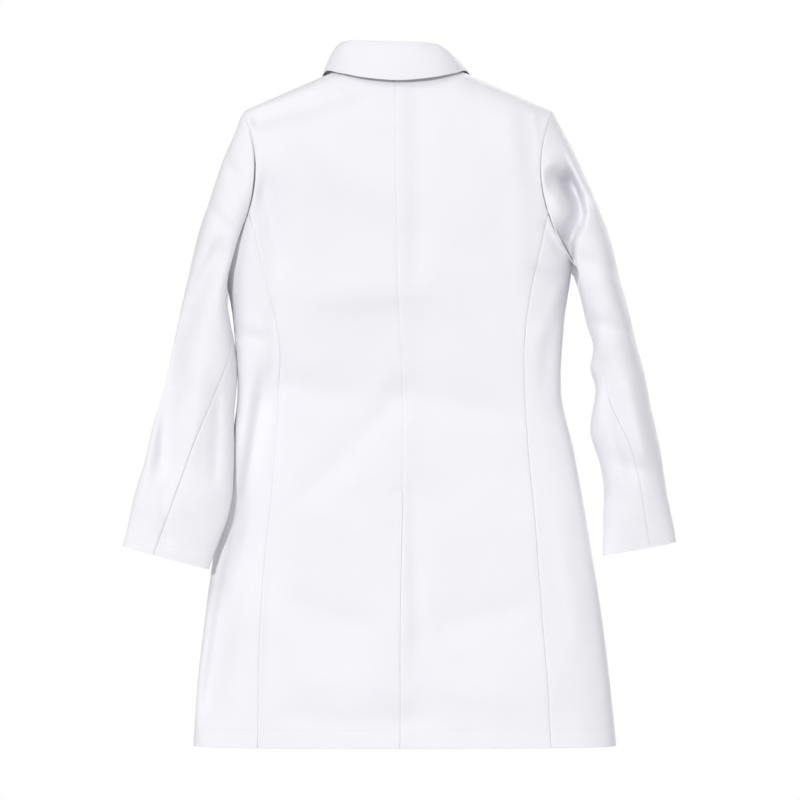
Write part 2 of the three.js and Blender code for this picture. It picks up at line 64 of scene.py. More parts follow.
CLOTH = 0.9  # thickness of an outer panel
LINING = 0.8  # thickness of a turned hem or a facing
PLY = 2.2  # from the face of a panel to the face of the layer under it
SEAM_GAP = 0.15  # half the gap between two panels where they are sewn
SEAM_TURN = 0.003  # the same as an angle round the body or a sleeve
NECK_HALF = 84
SHOULDER_HALF = 203
SHOULDER_DROP = 52
UNDERARM_HALF = 228
UNDERARM_Z = -249
ARMHOLE_Z = (UNDERARM_Z - SHOULDER_DROP) / 2  # the armhole's middle
ARMHOLE_HALF = -(UNDERARM_Z + SHOULDER_DROP) / 2  # half its height
HEM_Z = -882
HEM_DEPTH = 25
BACK_NECK_Z = -8
PRINCESS_TOP_Z = -187
FOLD_TOP = (120, 42, -75)  # front princess seam, a straight line in space: across, depth, height
FOLD_END = (200, 50, HEM_Z)
BREAK_Z = -330  # where the lapel starts to roll
ROLL_TOP = (66, -60)  # where its roll line reaches the collar
FRONT_LAP = 18
UNDER_LAP_SINK = 6.2
FACING_WIDTH = 55
VENT_TOP_Z = -552
VENT_WIDTH = 50
SECTION_POWER = {"back": 2.8, "front": 2.5}  # squareness of a horizontal section
SHOULDER_POWER = 2.2
SHOULDER_REACH = {"back": 110, "front": 70}
ARMHOLE_DIP = {"back": 28.5, "front": 42}
FRONT_ARM_SEAM = {"left": math.radians(-115), "right": math.radians(-150)}
SNAP_HEIGHTS = (-352, -452, -552, -652)
POCKETS = {  # inner edge, outer edge, mouth, bottom, gape
    "left_chest_pocket": (54, 136, -246, -346, 9),
    "left_pocket": (34, 158, -545, -715, 12),
    "right_pocket": (34, 158, -545, -715, 12),
}
PANEL_TOPS = (-300, 60)  # every panel ends above between these heights


# ---- Small tools ----

def profile(*stations):
    """A smooth function through (position, value) stations, level beyond both ends."""
    at, value = np.array(stations, float).T
    before = np.maximum(np.arange(len(at)) - 1, 0)
    after = np.minimum(np.arange(len(at)) + 1, len(at) - 1)
    slope = (value[after] - value[before]) / (at[after] - at[before])

    def curve(position):
        place = np.clip(position, at[0], at[-1])
        i = np.clip(np.searchsorted(at, place, side="right") - 1, 0, len(at) - 2)
        span = at[i + 1] - at[i]
        t = (place - at[i]) / span
        ease = t * t * (3 - 2 * t)
        leaving = t * (1 - t) ** 2 * span * slope[i]
        arriving = t * t * (1 - t) * span * slope[i + 1]
        return value[i] + (value[i + 1] - value[i]) * ease + leaving - arriving

    return curve


def mix(start, end, share):
    return start + (end - start) * share


def smooth(value, start, end):
    t = np.clip((value - start) / (end - start), 0, 1)
    return t * t * (3 - 2 * t)


def bell(distance, width):
    return np.exp(-(distance / width) ** 2)


HALVINGS = 36  # of the range searched: to well below a thousandth of a millimetre


def crossing(test, like, low, high):
    """Where a rising test turns positive, for each entry of an array."""
    below = np.full_like(like, low)
    above = np.full_like(like, high)
    for _ in range(HALVINGS):
        middle = (below + above) / 2
        over = test(middle) > 0
        above = np.where(over, middle, above)
        below = np.where(over, below, middle)
    return below


def spread(count, tight_end=True):
    """Values from 0 to 1, closer together at the start and, with a tight end, at the end."""
    ramp = np.array([0.12, 0.16, 0.25, 0.4, 0.6, 0.8])
    step = np.ones(count)
    step[:len(ramp)] = ramp
    if tight_end:
        step[-len(ramp):] = ramp[::-1]
    return np.concatenate([[0], np.cumsum(step)]) / step.sum()


def grid(columns, rows, tight_end=True):
    return np.meshgrid(spread(columns), spread(rows, tight_end))


def level(value):
    """A line that stays at one value."""
    return lambda place: value + 0 * place


def point(x, y, z):
    return np.stack(np.broadcast_arrays(x, y, z), axis=-1).astype(float)


def mirrored(points, side):
    return points * np.array([side, 1, 1])


def unit(vectors):
    return vectors / np.maximum(np.linalg.norm(vectors, axis=-1, keepdims=True), 1e-9)


def normals(points, turn, ring=False):
    """Outward unit normals of a grid of points; turn is 1 where columns cross rows outward."""
    if ring:
        wrapped = np.concatenate([points[:, -1:], points, points[:, :1]], axis=1)
        along = wrapped[:, 2:] - wrapped[:, :-2]
    else:
        along = np.gradient(points, axis=1)
    return unit(np.cross(along, np.gradient(points, axis=0))) * turn


def distances(points, axis):
    """How far each grid point is from the first one along an axis, on the cloth."""
    step = np.linalg.norm(np.diff(points, axis=axis), axis=-1)
    start = np.zeros_like(np.take(step, [0], axis=axis))
    return np.concatenate([start, np.cumsum(step, axis=axis)], axis=axis)


# ---- Folds in the cloth ----

def line_place(x, z, line):
    """Where (x, z) lies by a line: how far across it, positive towards +X of a line that runs down,
    and how far past its ends.
    """
    nearest = np.full(np.shape(x), np.inf)
    across, beyond = np.zeros(np.shape(x)), np.zeros(np.shape(x))
    last = len(line) - 2
    for i, ((x0, z0), (x1, z1)) in enumerate(zip(line, line[1:])):
        run_x, run_z = x1 - x0, z1 - z0
        length = math.hypot(run_x, run_z)
        along = ((x - x0) * run_x + (z - z0) * run_z) / length
        before = np.maximum(-along, 0) if i == 0 else 0 * along
        after = np.maximum(along - length, 0) if i == last else 0 * along
        past = before + after
        reach = np.clip(along, 0, length) / length
        gap = np.hypot(x - x0 - reach * run_x, z - z0 - reach * run_z)
        turn = np.where(run_x * (z - z0) - run_z * (x - x0) > 0, 1, -1)
        closer = gap < nearest
        nearest = np.where(closer, gap, nearest)
        across = np.where(closer, np.sqrt(np.maximum(gap ** 2 - past ** 2, 0)) * turn, across)
        beyond = np.where(closer, past, beyond)
    return across, beyond


def folds(x, z, strokes):
    """Height of a set of strokes, each (height, widths, line); a valley has a negative height.

    The widths are those of the stroke's positive and negative sides, as line_place signs them.
    Past its ends a stroke dies away over the two widths together.
    """
    height = np.zeros(np.shape(x))
    for rise, (wide, narrow), line in strokes:
        across, beyond = line_place(x, z, line)
        height += rise * bell(across, np.where(across > 0, wide, narrow)) * bell(beyond, wide + narrow)
    return height


def ripples(a, b, waves):
    """Sets of seeded waves over two coordinates, each about its height tall at its peaks."""
    total = np.zeros(np.shape(a))
    for seed, count, shortest, longest, height in waves:
        draw = np.random.default_rng(seed)
        layer = np.zeros(np.shape(a))
        for _ in range(count):
            length = draw.uniform(shortest, longest)
            heading = draw.uniform(0, math.pi)
            phase = draw.uniform(0, 2 * math.pi)
            travel = a * math.cos(heading) + b * math.sin(heading)
            layer += np.sin(2 * math.pi * travel / length + phase) * length / longest
        total += layer * height / math.sqrt(count)
    return total


# Each set of ripples: seed, count, shortest, longest, height.
BODY_RIPPLES = [(11, 9, 90, 240, 1.3), (12, 16, 26, 60, 0.22)]
SLEEVE_RIPPLES = [(31, 9, 60, 160, 1.5), (32, 12, 22, 50, 0.25)]
COLLAR_RIPPLES = [(21, 8, 40, 110, 0.45)]
ARMHOLE_CALM = 14  # the folds die away over this distance from the armhole
RIDGE_CALM = 18  # and over this one from the shoulder ridge

# Each fold: height, widths of its two sides, line of (across, height) points.
BACK_FOLDS = [
    (-9.0, (15, 14), [(176, -62), (120, -47), (70, -32)]),
    (3.5, (26, 26), [(112, -92), (62, -140)]),
    (-8.0, (15, 14), [(176, -160), (166, -200), (158, -240)]),
    (2.2, (3.5, 17), [(3, -28), (1, -150), (-3, -280), (-9, -427), (-9, -548), (-5, -700), (-5, -870)]),
    (-2.4, (12, 18), [(-26, -60), (-27, -150), (-22, -250)]),
    (2.8, (16, 14), [(-146, -84), (-157, -170), (-161, -246)]),
    (1.5, (5, 4), [(-178, -60), (-186, -110), (-186, -160)]),
    (-3.4, (20, 20), [(150, -410), (92, -420)]),
    (3.0, (22, 22), [(92, -294), (22, -290)]),
    (-3.2, (24, 24), [(-20, -425), (-95, -440)]),
    (-3.0, (18, 18), [(10, -436), (66, -500), (112, -546)]),
    (2.4, (22, 22), [(64, -560), (30, -640)]),
    (-3.0, (22, 20), [(112, -702), (70, -716)]),
    (-3.0, (20, 20), [(-76, -722), (-128, -708)]),
    (-2.6, (10, 14), [(-18, -560), (-22, -650), (-24, -745)]),
    (-2.6, (13, 12), [(168, -668), (166, -780)]),
    (2.6, (26, 26), [(92, -800), (-122, -812)]),
    (-2.0, (16, 14), [(136, -842), (60, -850), (-10, -846)]),
    (1.4, (3, 5), [(188, -207), (171, -280), (155, -345)]),
    (1.3, (3, 5), [(157, -420), (164, -541), (174, -641), (181, -774), (181, -866)]),
    (-4.0, (9, 4), [(163, -325), (160, -350), (161, -386)]),
    (-16.0, (12, 26), [(180, -440), (186, -480), (196, -540), (214, -624), (232, -715), (247, -815)]),
    (-1.6, (3, 4), [(4, -549), (-24, -556), (-60, -565)]),
    (-4.6, (5, 7), [(207, -342), (180, -350)]),
    (-5.0, (5, 3), [(-192, -203), (-208, -228), (-226, -246)]),
    (-3.6, (8, 4), [(-186, -262), (-208, -272)]),
    (2.6, (10, 10), [(-205, -300), (-190, -340)]),
    (-2.4, (9, 12), [(-196, -330), (-192, -400)]),
    (2.2, (12, 14), [(-212, -600), (-232, -720)]),
]
FRONT_FOLDS = [
    (-5.0, (14, 16), [(152, -110), (141, -200), (146, -270)]),
    (-5.0, (16, 14), [(-152, -110), (-141, -200), (-146, -270)]),
    (3.6, (14, 18), [(102, -390), (118, -520)]),
    (-4.0, (14, 14), [(70, -360), (60, -480)]),
    (-4.0, (14, 14), [(-98, -380), (-112, -500)]),
    (3.4, (16, 14), [(-60, -360), (-52, -500)]),
    (-5.5, (14, 18), [(176, -400), (198, -600), (214, -780)]),
    (-5.5, (18, 14), [(-178, -410), (-202, -610), (-220, -790)]),
    (4.0, (18, 18), [(112, -735), (122, -866)]),
    (-4.0, (16, 18), [(66, -735), (70, -866)]),
    (-4.0, (18, 16), [(-100, -735), (-110, -866)]),
    (3.6, (16, 16), [(-56, -735), (-60, -866)]),
]
LEFT_SLEEVE_FOLDS = [
    (-12.0, (12, 18), [(240, -246), (267, -300), (288, -370), (301, -440), (307, -505)]),
    (-5.0, (8, 9), [(236, -100), (214, -134)]),
    (-5.0, (9, 9), [(254, -170), (228, -200)]),
    (4.0, (14, 14), [(262, -206), (278, -262)]),
    (4.0, (12, 12), [(258, -400), (268, -500)]),
    (-4.0, (8, 8), [(234, -430), (238, -520)]),
    (-3.5, (8, 8), [(304, -556), (300, -606)]),
    (3.0, (9, 9), [(318, -470), (334, -560)]),
]
RIGHT_SLEEVE_FOLDS = [
    (-14.0, (20, 9), [(-186, -140), (-204, -138), (-222, -144), (-236, -162)]),
    (-44.0, (20, 3.5), [(-231, -150), (-238, -168), (-241, -186), (-237, -202), (-226, -224), (-226, -236)]),
    (5.0, (12, 10), [(-252, -178), (-270, -176)]),
    (-7.5, (12, 14), [(-266, -392), (-286, -460), (-302, -512)]),
    (-3.0, (13, 14), [(-292, -512), (-316, -522)]),
    (4.0, (10, 12), [(-302, -420), (-318, -500)]),
    (-4.0, (10, 10), [(-252, -250), (-284, -262)]),
    (-3.5, (9, 9), [(-262, -330), (-292, -338)]),
]


def pushed(outward, straight, along):
    """A displacement: one height straight out of the back or front, and one along the cloth's normal."""
    return outward * along[..., None] + straight[..., None] * np.array([0.0, 1.0, 0.0])


def body_relief(points, outward):
    """The folds on the body; they die away at the side seam, where the cloth turns."""
    x, z = points[..., 0], points[..., 2]
    on_back = smooth(outward[..., 1], 0.05, 0.4)
    on_front = smooth(-outward[..., 1], 0.05, 0.4)
    deep = folds(x, z, BACK_FOLDS) * on_back - folds(x, z, FRONT_FOLDS) * on_front
    fine = ripples(x, z, BODY_RIPPLES)
    armhole = np.where(outward[..., 1] > 0, armhole_x("back", z), armhole_x("front", z))
    near_armhole = np.where(z > UNDERARM_Z, smooth(armhole - np.abs(x), 0, ARMHOLE_CALM), 1)
    share = near_armhole * smooth(ridge(x) - z, 0, RIDGE_CALM)
    return pushed(outward, deep * share, fine * (on_back + on_front) * share)


# ---- The body's surface ----

HALF_WIDTH = {
    LEFT: profile((HEM_Z, 268), (-796, 262), (-718, 253), (-650, 244), (-560, 231), (-495, 220),
                  (-420, 210), (-325, 216), (UNDERARM_Z, UNDERARM_HALF), (-52, UNDERARM_HALF)),
    RIGHT: profile((HEM_Z, 286), (-744, 271), (-613, 251), (-495, 230), (-423, 214), (-325, 218),
                   (UNDERARM_Z, UNDERARM_HALF), (-52, UNDERARM_HALF)),
}
PRINCESS = {
    LEFT: profile((HEM_Z, 182), (-774, 181), (-641, 174), (-541, 164), (-427, 157), (-360, 154),
                  (-280, 171), (-207, 189), (PRINCESS_TOP_Z, 195)),
    RIGHT: profile((HEM_Z, 199), (-795, 194), (-694, 186), (-574, 177), (-487, 169), (-373, 164),
                   (-307, 170), (-230, 186), (PRINCESS_TOP_Z, 195)),
}
CENTRE_SEAM = profile((HEM_Z, -2.6), (-700, -3), (-548, -6.5), (-427, -6.5), (-280, 0), (-39, 4), (0, 3))
BACK_DEPTH = profile((HEM_Z, 66), (-600, 56), (-423, 48), (-150, 62), (0, 62))
LAPEL_EDGE = profile((BREAK_Z, -FRONT_LAP), (-250, 44), (-160, 84), (-92, 108))


def ridge(x):
    """Height of the shoulder ridge above a point x across."""
    slope = SHOULDER_DROP / (SHOULDER_HALF - NECK_HALF)
    reach = np.abs(x)
    inside = slope * NECK_HALF * (1 - np.minimum(reach / NECK_HALF, 1) ** 2) / 2
    return np.where(reach > NECK_HALF, -slope * (reach - NECK_HALF), inside)


def shoulder_roll(face, x, z):
    """0 on the shoulder ridge, rising to 1 where the cloth hangs straight."""
    down = np.clip((ridge(x) - z) / SHOULDER_REACH[face], 0, 1)
    return (1 - (1 - down) ** SHOULDER_POWER) ** (1 / SHOULDER_POWER)


def section_depth(face, side, x, z):
    reach = np.minimum(np.abs(x) / HALF_WIDTH[side](z), 1)
    return (1 - reach ** SECTION_POWER[face]) ** (1 / SECTION_POWER[face])


def fold_line(z):
    """Where the front princess seam is at height z: across, and its depth."""
    t = (z - FOLD_TOP[2]) / (FOLD_END[2] - FOLD_TOP[2])
    return mix(FOLD_TOP[0], FOLD_END[0], t), mix(FOLD_TOP[1], FOLD_END[1], t)


def body_point(face, side, x, z):
    """A point of the back or the front, before it is mirrored to its side."""
    if face == "back":
        depth = BACK_DEPTH(z)
    else:
        fold_x, fold_depth = fold_line(z)
        depth = -fold_depth / section_depth("front", side, fold_x, z)
    return point(x, depth * section_depth(face, side, x, z) * shoulder_roll(face, x, z), z)


def armhole_edge(face, angle):
    """The left armhole edge; angle 0 is the shoulder tip, half a turn is the underarm."""
    middle = (SHOULDER_HALF + UNDERARM_HALF) / 2
    lean = (UNDERARM_HALF - SHOULDER_HALF) / 2
    x = middle - lean * np.cos(angle) - ARMHOLE_DIP[face] * np.sin(angle) ** 2
    return x, ARMHOLE_Z + ARMHOLE_HALF * np.cos(angle)


def armhole_x(face, z):
    return armhole_edge(face, np.arccos(np.clip((z - ARMHOLE_Z) / ARMHOLE_HALF, -1, 1)))[0]


def angle_of(face, side, x, z):
    """Angle round a section at x: 0 at the side edge, a quarter turn at the centre line."""
    return np.arccos(np.clip(x / HALF_WIDTH[side](z), 0, 1) ** (SECTION_POWER[face] / 2))


def across_of(face, side, angle, z):
    return HALF_WIDTH[side](z) * np.cos(angle) ** (2 / SECTION_POWER[face])


def row_height(v, top, bottom, face):
    """Row heights that crowd where the cloth rolls over the shoulder; v is 0 at the hem."""
    roll_share = 0.24
    first_angle = 0.006
    from_top = 1 - v
    reach = SHOULDER_REACH[face]
    angle = mix(first_angle, math.pi / 2, np.minimum(from_top / roll_share, 1))
    rolled = top - reach * (1 - np.cos(angle) ** (2 / SHOULDER_POWER))
    hanging = mix(top - reach, bottom, (from_top - roll_share) / (1 - roll_share))
    return np.where(from_top < roll_share, rolled, hanging)


def back_top(x):
    inside = BACK_NECK_Z * (1 - np.minimum(np.abs(x) / NECK_HALF, 1) ** 2) ** 0.7
    return np.where(np.abs(x) < NECK_HALF, inside, ridge(x))


def front_edge_x(z):
    """The front edge: straight below the break, then the roll line of the lapel."""
    roll_x, roll_z = ROLL_TOP
    return np.where(z < BREAK_Z, -FRONT_LAP, mix(-FRONT_LAP, roll_x, (z - BREAK_Z) / (roll_z - BREAK_Z)))


def front_neck_x(z):
    return mix(front_edge_x(FOLD_TOP[2]), NECK_HALF, smooth(z, FOLD_TOP[2] - 20, 0))


def front_point(side, x, z):
    """A point of a front; the left front sinks below the right one near the centre line."""
    points = body_point("front", side, x, z)
    if side == LEFT:
        points[..., 1] += UNDER_LAP_SINK * (1 - smooth(x, 22, 80))
    return mirrored(points, side)


# ---- Making cloth ----

GROOVE_WIDTH = 1.7
PUCKER = 0.16  # height of the puckers beside a seam
PUCKER_RUN = 2.3  # a pucker's length along the seam, over a full turn
PUCKER_DRIFT = 19  # the length over which their spacing drifts, over a full turn
PUCKER_SWAY = 1.7  # and how far it drifts
PUCKER_REACH = 7
TURNED_IN = {"lift": -PLY, "thickness": LINING, "held": "folded"}  # a hem or a facing


def mesh_object(name, vertices, faces, material):
    """A smooth-shaded mesh object from points in millimetres."""
    mesh = bpy.data.meshes.new(name)
    mesh.from_pydata((np.asarray(vertices) * MM).tolist(), [], faces)
    mesh.shade_smooth()
    mesh.materials.append(material)
    piece = bpy.data.objects.new(name, mesh)
    bpy.context.scene.collection.objects.link(piece)
    return piece


def quads(first, second):
    """Faces between the neighbouring points of two rows, or of two grids of rows."""
    corners = [first[..., :-1], first[..., 1:], second[..., 1:], second[..., :-1]]
    return np.stack(corners, -1).reshape(-1, 4)


def sheet_faces(rows, columns, ring, turn):
    """Faces of a closed two-layer sheet: its outer grid comes first, then its inner grid."""
    outer = np.arange(rows * columns).reshape(rows, columns)
    if ring:
        outer = np.concatenate([outer, outer[:, :1]], axis=1)
    inner = outer + rows * columns
    faces = [quads(outer[:-1], outer[1:]), quads(inner[:-1], inner[1:])[:, [0, 3, 2, 1]],
             quads(inner[0], outer[0]), quads(outer[-1], inner[-1])]
    if not ring:
        faces.append(np.roll(quads(outer[:, 0], inner[:, 0]), 1, axis=1))
        faces.append(np.roll(quads(inner[:, -1], outer[:, -1]), 1, axis=1))
    faces = np.concatenate(faces)
    return (faces if turn > 0 else faces[:, ::-1]).tolist()


def edge_sink(points, edges, depth):
    """How far the face drops next to its sewn edges, named left, right, bottom and top.

    The thread draws the cloth in a little between stitches, so the edge puckers.
    """
    along = distances(points, 1)
    up = distances(points, 0)
    reach = {"left": (along, up), "right": (along[:, -1:] - along, up),
             "bottom": (up, along), "top": (up[-1:] - up, along)}
    sink = np.zeros(points.shape[:2])
    for edge in edges:
        away, run = reach[edge]
        pucker = PUCKER * np.sin(run / PUCKER_RUN + PUCKER_SWAY * np.sin(run / PUCKER_DRIFT))
        sink += depth * bell(away, GROOVE_WIDTH) + pucker * bell(away, PUCKER_REACH)
    return sink


def riding(body):
    return lambda piece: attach(piece, body)


def cloth(node, points, turn, move=riding("root"), lift=0, thickness=CLOTH, ring=False, seams=(),
          relief=body_relief, groove=1.0, held="hung", slot="coat_cloth", stands_for=True):
    """Makes a closed sheet over a grid of points, and gives its face and its normals.

    It stands for a frame node, and move says what it moves with. A piece with held=None is a
    tape; for any other piece the width, length and area of the sheet are worked out. A piece
    with held=None is a tape, too narrow to count as a sheet.
    """
    outward = normals(points, turn, ring)
    height = lift - edge_sink(points, seams, groove)
    face = points + outward * height[..., None]
    if relief:
        face = face + relief(points, outward)
    outward = normals(face, turn, ring)
    back = face - outward * thickness
    vertices = np.concatenate([face.reshape(-1, 3), back.reshape(-1, 3)])
    faces = sheet_faces(*face.shape[:2], ring, turn)
    piece = mesh_object(f"{node}_cloth", vertices, faces, MATERIALS[slot])
    if stands_for:
        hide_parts(node)
    if held:
        closed = np.concatenate([face, face[:, :1]], axis=1) if ring else face
        width = round(distances(closed, 1)[:, -1].max() * MM, 3)
        length = round(distances(closed, 0)[-1].max() * MM, 3)
        area = min(grid_area(closed) * MM * MM, width * length)
    move(piece)
    return face, outward


def grid_area(points):
    across = points[1:, 1:] - points[:-1, :-1]
    other = points[1:, :-1] - points[:-1, 1:]
    return np.linalg.norm(np.cross(across, other), axis=-1).sum() / 2


def inset_line(face, outward, edge, distance):
    """The line at a distance from an edge of a sheet, with the normals along it."""
    if edge in ("left", "right"):
        face, outward = face.transpose(1, 0, 2), outward.transpose(1, 0, 2)
    if edge in ("right", "top"):
        face, outward = face[::-1], outward[::-1]
    reach = distances(face, 0).T
    line, lean = (np.array([[np.interp(distance, run, value) for value in column.T]
                            for run, column in zip(reach, layer.transpose(1, 0, 2))])
                  for layer in (face, outward))
    return line, unit(lean)


STITCH = 2.5  # length of a stitch on the face
STITCH_PITCH = 3.1
STITCH_SKIP = 1.5  # left bare at both ends of a row
STITCH_PLACES = np.array([0, 0.25, 0.5, 0.75, 1])  # a stitch's first tip, three rings and last tip
STITCH_RISE = np.array([-0.1, 0.16, 0.22, 0.16, -0.1])
THREAD = 0.27  # radius of the thread
THREAD_SIDES = 6


def stitches(line, outward):
    """Vertices and faces of a row of stitches along a line on the cloth."""
    reach = distances(line[:, None], 0)[:, 0]
    vertices, faces = [], []
    around = np.linspace(0, 2 * math.pi, THREAD_SIDES + 1)[:-1]
    for start in np.arange(STITCH_SKIP, reach[-1] - STITCH - STITCH_SKIP, STITCH_PITCH):
        places = start + STITCH_PLACES * STITCH
        spine = np.stack([np.interp(places, reach, line[:, k]) for k in range(3)], -1)
        up = unit(np.array([np.interp(places[2], reach, outward[:, k]) for k in range(3)]))
        side = unit(np.cross(up, spine[-1] - spine[0]))
        spine += up * STITCH_RISE[:, None]
        first = len(vertices)
        vertices.append(spine[0])
        for centre in spine[1:-1]:
            vertices.extend(centre + (side * math.cos(a) + up * math.sin(a)) * THREAD for a in around)
        last = len(vertices)
        vertices.append(spine[-1])
        for i in range(THREAD_SIDES):
            j = (i + 1) % THREAD_SIDES
            faces.append((first, first + 1 + j, first + 1 + i))
            faces.append((last, last - THREAD_SIDES + i, last - THREAD_SIDES + j))
            for ring in (first + 1, first + 1 + THREAD_SIDES):
                a, b = ring + i, ring + j
                faces.append((a, b, b + THREAD_SIDES, a + THREAD_SIDES))
    return vertices, faces


THREADS = {}  # vertices and faces of the stitching that moves together, by name


def sew(group, face, outward, edge, distance, start=0.0, end=1.0):
    """Adds a row of stitches at a distance from an edge to a group's stitching."""
    line, lean = inset_line(face, outward, edge, distance)
    first, last = round(start * (len(line) - 1)), round(end * (len(line) - 1)) + 1
    sew_line(group, line[first:last], lean[first:last])


def sew_line(group, line, lean):
    vertices, faces = stitches(line, lean)
    all_vertices, all_faces = THREADS.setdefault(group, ([], []))
    base = len(all_vertices)
    all_vertices.extend(vertices)
    all_faces.extend(tuple(base + i for i in face) for face in faces)


# ---- Materials ----

def new_material(name):
    material = bpy.data.materials.new(name)
    material.use_nodes = True
    tree = material.node_tree
    return material, tree, tree.nodes["Principled BSDF"]


def add_node(tree, kind, inputs=None, **settings):
    node = tree.nodes.new(f"ShaderNode{kind}")
    for key, value in settings.items():
        setattr(node, key, value)
    set_inputs(node, inputs or {})
    return node


def set_inputs(node, inputs):
    for key, value in inputs.items():
        node.inputs[key].default_value = value


def wire(tree, *chain):
    """Joins nodes in a row, given as node, its output, the next one's input, that node, and so on."""
    for i in range(0, len(chain) - 3, 3):
        source, output, entry, target = chain[i:i + 4]
        tree.links.new(source.outputs[output], target.inputs[entry])


def texture(tree, kind, inputs, **settings):
    """A texture in the piece's own coordinates."""
    node = add_node(tree, kind, inputs, **settings)
    wire(tree, add_node(tree, "TexCoord"), "Object", "Vector", node)
    return node


def noise(tree, scale, detail, distortion=0.0):
    return texture(tree, "TexNoise", {"Scale": scale, "Detail": detail, "Distortion": distortion})


def two_tones(tree, dark, light, start=0.0, end=1.0):
    ramp = add_node(tree, "ValToRGB")
    for stop, place, colour in zip(ramp.color_ramp.elements, (start, end), (dark, light)):
        stop.position = place
        stop.color = (*colour, 1)
    return ramp


def between(tree, low, high):
    return add_node(tree, "MapRange", {"To Min": low, "To Max": high})


def bumpy(tree, shader, heights):
    """Adds bumps to a shader, each a texture, its strength and its depth in metres."""
    below = None
    for height, strength, depth in heights:
        bump = add_node(tree, "Bump", {"Strength": strength, "Distance": depth})
        wire(tree, height, "Fac", "Height", bump)
        if below:
            wire(tree, below, "Normal", "Normal", bump)
        below = bump
    wire(tree, below, "Normal", "Normal", shader)


def woven_material(name, light, shade, line_scale, sheen):
    """White cloth: a fine diagonal twill, a slub in the yarn, soft unevenness and a faint sheen."""
    material, tree, shader = new_material(name)
    wire(tree, noise(tree, 9.0, 3.0), "Fac", "Fac", two_tones(tree, shade, light, 0.35, 0.65),
         "Color", "Base Color", shader)
    twill = texture(tree, "TexWave",
                    {"Scale": line_scale, "Distortion": 0.6, "Detail": 1.0, "Detail Scale": 2.0},
                    wave_type="BANDS", bands_direction="DIAGONAL")
    slub = noise(tree, 130.0, 4.0)
    yarn = noise(tree, 1400.0, 2.0)
    bumpy(tree, shader, [(slub, 0.35, 0.0004), (yarn, 0.25, 0.0001), (twill, 0.35, 0.00012)])
    wire(tree, slub, "Fac", "Value", between(tree, 0.72, 0.88), "Result", "Roughness", shader)
    set_inputs(shader, {"Specular IOR Level": 0.25, "Sheen Weight": sheen, "Sheen Roughness": 0.45})
    return material


def plastic_material(name, colour):
    """Moulded snap cap: glossy, with slight moulding waves and fine handling scratches."""
    material, tree, shader = new_material(name)
    scratches = noise(tree, 2200.0, 3.0, 2.0)
    wire(tree, scratches, "Fac", "Value", between(tree, 0.24, 0.42), "Result", "Roughness", shader)
    bumpy(tree, shader, [(noise(tree, 260.0, 1.0), 0.15, 0.0002)])
    set_inputs(shader, {"Base Color": (*colour, 1), "Coat Weight": 0.2})
    return material


def steel_material(name, tarnish, bright):
    """Turned steel of the snaps: brushed, with darker tarnish in patches."""
    material, tree, shader = new_material(name)
    wire(tree, noise(tree, 320.0, 2.0), "Fac", "Fac", two_tones(tree, tarnish, bright),
         "Color", "Base Color", shader)
    brushing = noise(tree, 1800.0, 4.0)
    wire(tree, brushing, "Fac", "Value", between(tree, 0.22, 0.5), "Result", "Roughness", shader)
    set_inputs(shader, {"Metallic": 1.0})
    return material


MATERIALS = {  # woven: name, light, shade, lines, sheen
    "coat_cloth": woven_material("white_twill", (0.806, 0.798, 0.836), (0.786, 0.779, 0.820), 800, 0.15),
    "label_tape": woven_material("label_satin", (0.83, 0.82, 0.79), (0.78, 0.77, 0.74), 1500, 0.35),
    "thread": woven_material("white_thread", (0.84, 0.845, 0.86), (0.80, 0.805, 0.82), 2400, 0.3),
    "snap_cap": plastic_material("white_snap_cap", (0.86, 0.86, 0.84)),
    "snap_metal": steel_material("snap_steel", (0.42, 0.43, 0.44), (0.72, 0.73, 0.75)),
}


# ---- Back, sides and hem ----

def panel_top(across, limit, like):
    """Height at which each column of a panel meets the line that ends it above."""
    return crossing(lambda z: z - limit(across(z)), like, *PANEL_TOPS)


def back_panel(side):
    u, v = grid(60, 180, tight_end=False)

    def across(z):
        edge = np.where(z > PRINCESS_TOP_Z, armhole_x("back", z), PRINCESS[side](z)) - SEAM_GAP
        return mix(CENTRE_SEAM(z) * side + SEAM_GAP, edge, u)

    z = row_height(v, panel_top(across, back_top, u), HEM_Z, "back")
    return mirrored(body_point("back", side, across(z), z), side)


def side_back_panel(side):
    u, v = grid(30, 130)

    def across(z):
        inner = angle_of("back", side, PRINCESS[side](z) + SEAM_GAP, z)
        return across_of("back", side, mix(inner, SEAM_TURN, u), z)

    past_armhole = lambda z: across(z) - armhole_x("back", z) + SEAM_GAP
    z = mix(HEM_Z, crossing(past_armhole, u, UNDERARM_Z - 1, PRINCESS_TOP_Z), v)
    return mirrored(body_point("back", side, across(z), z), side)


def side_front_panel(side):
    u, v = grid(34, 150, tight_end=False)

    def across(z):
        armhole = angle_of("front", side, armhole_x("front", z) - SEAM_GAP, z)
        outer = np.where(z < UNDERARM_Z, SEAM_TURN, armhole)
        inner = angle_of("front", side, fold_line(z)[0] + SEAM_GAP, z)
        return across_of("front", side, mix(inner, outer, u), z)

    z = row_height(v, panel_top(across, ridge, u), HEM_Z, "front")
    return mirrored(body_point("front", side, across(z), z), side)


def front_shoulder(side):
    below_ridge = 0.01
    u, v = grid(16, 30)
    across = lambda z: mix(front_neck_x(z), fold_line(z)[0] - SEAM_GAP, u)
    z = mix(FOLD_TOP[2] + SEAM_GAP, panel_top(across, ridge, u), 1 - (1 - v) ** 2)
    return mirrored(body_point("front", side, across(z), z - below_ridge), side)


def front_patch(side, columns, rows, inner, outer, bottom, top, bulge=None):
    """A patch of a front between two lines across and two heights."""
    u, v = grid(columns, rows)
    z = mix(bottom(u), top(u), v)
    points = front_point(side, mix(inner(z), outer(z), u), z)
    if bulge:
        points[..., 1] -= bulge(u, v)
    return points


